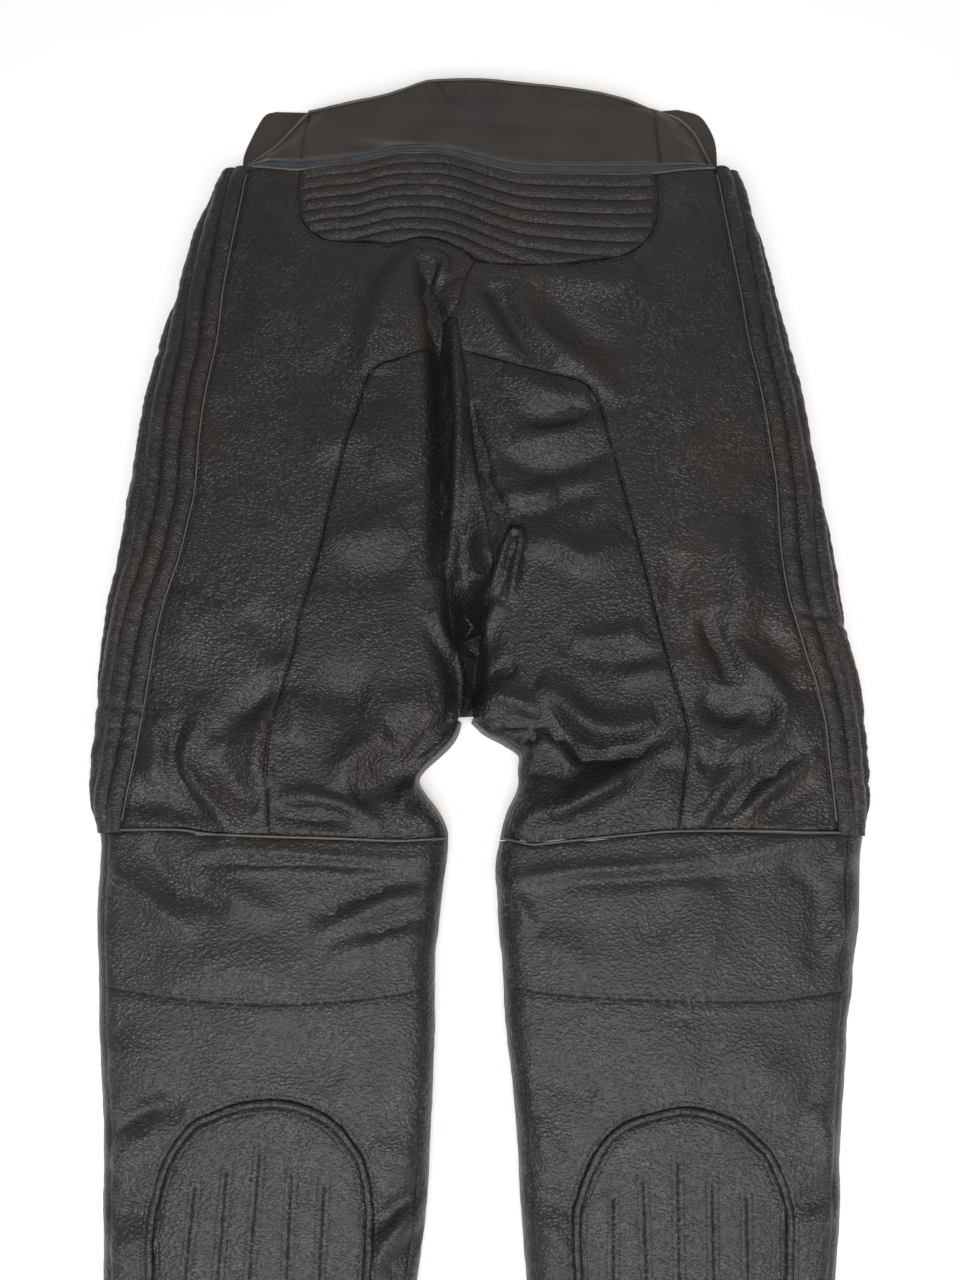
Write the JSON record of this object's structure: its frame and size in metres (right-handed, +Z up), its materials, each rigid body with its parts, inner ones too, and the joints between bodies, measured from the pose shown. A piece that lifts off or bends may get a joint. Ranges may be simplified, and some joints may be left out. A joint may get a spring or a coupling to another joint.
{
  "type": "motorcycle trousers laid flat",
  "caption": "Leather motorcycle trousers lying flat, back side up, with a raised back yoke, ribbed lumbar panel, quilted side strips and arched calf panels.",
  "frame": {"origin": "centre of the garment's box, on the surface that it lies on", "axes": "+Y from the hems to the waist, +X towards the wearer's right, +Z up, out of the garment's back"},
  "size_m": [0.5928, 1.1521, 0.0468],
  "materials": {
    "leather": "black grained cowhide with a soft shine",
    "leg_leather": "black grained cowhide, a little greyer",
    "yoke_leather": "smooth matte brown-black leather",
    "piping": "rolled leather edge, rubbed paler",
    "zip_tape": "dark grey woven zip tape"
  },
  "bodies": {
    "root": {"back_yoke": "yoke_leather", "back_yoke_side_left": "yoke_leather", "back_yoke_side_right": "yoke_leather", "front_waistband": "yoke_leather", "zip_tape": "zip_tape", "lumbar_panel": "leather", "hip_panel_left": "leather", "hip_panel_right": "leather", "seat_panel_left": "leather", "seat_panel_right": "leather", "crotch_gusset": "leather", "side_quilt_left": "leather", "side_quilt_right": "leather", "thigh_piping_left": "piping", "thigh_piping_right": "piping", "knee_back_left": "leg_leather", "knee_back_right": "leg_leather", "calf_back_left": "leg_leather", "calf_back_right": "leg_leather", "calf_arch_left": "leg_leather", "calf_arch_right": "leg_leather", "arch_piping_left": "piping", "arch_piping_right": "piping", "front_thigh_left": "leather", "front_thigh_right": "leather", "fly_placket": "leather", "inner_thigh_left": "leather", "inner_thigh_right": "leather", "front_leg_left": "leg_leather", "front_leg_right": "leg_leather"}
  },
  "joints": []
}
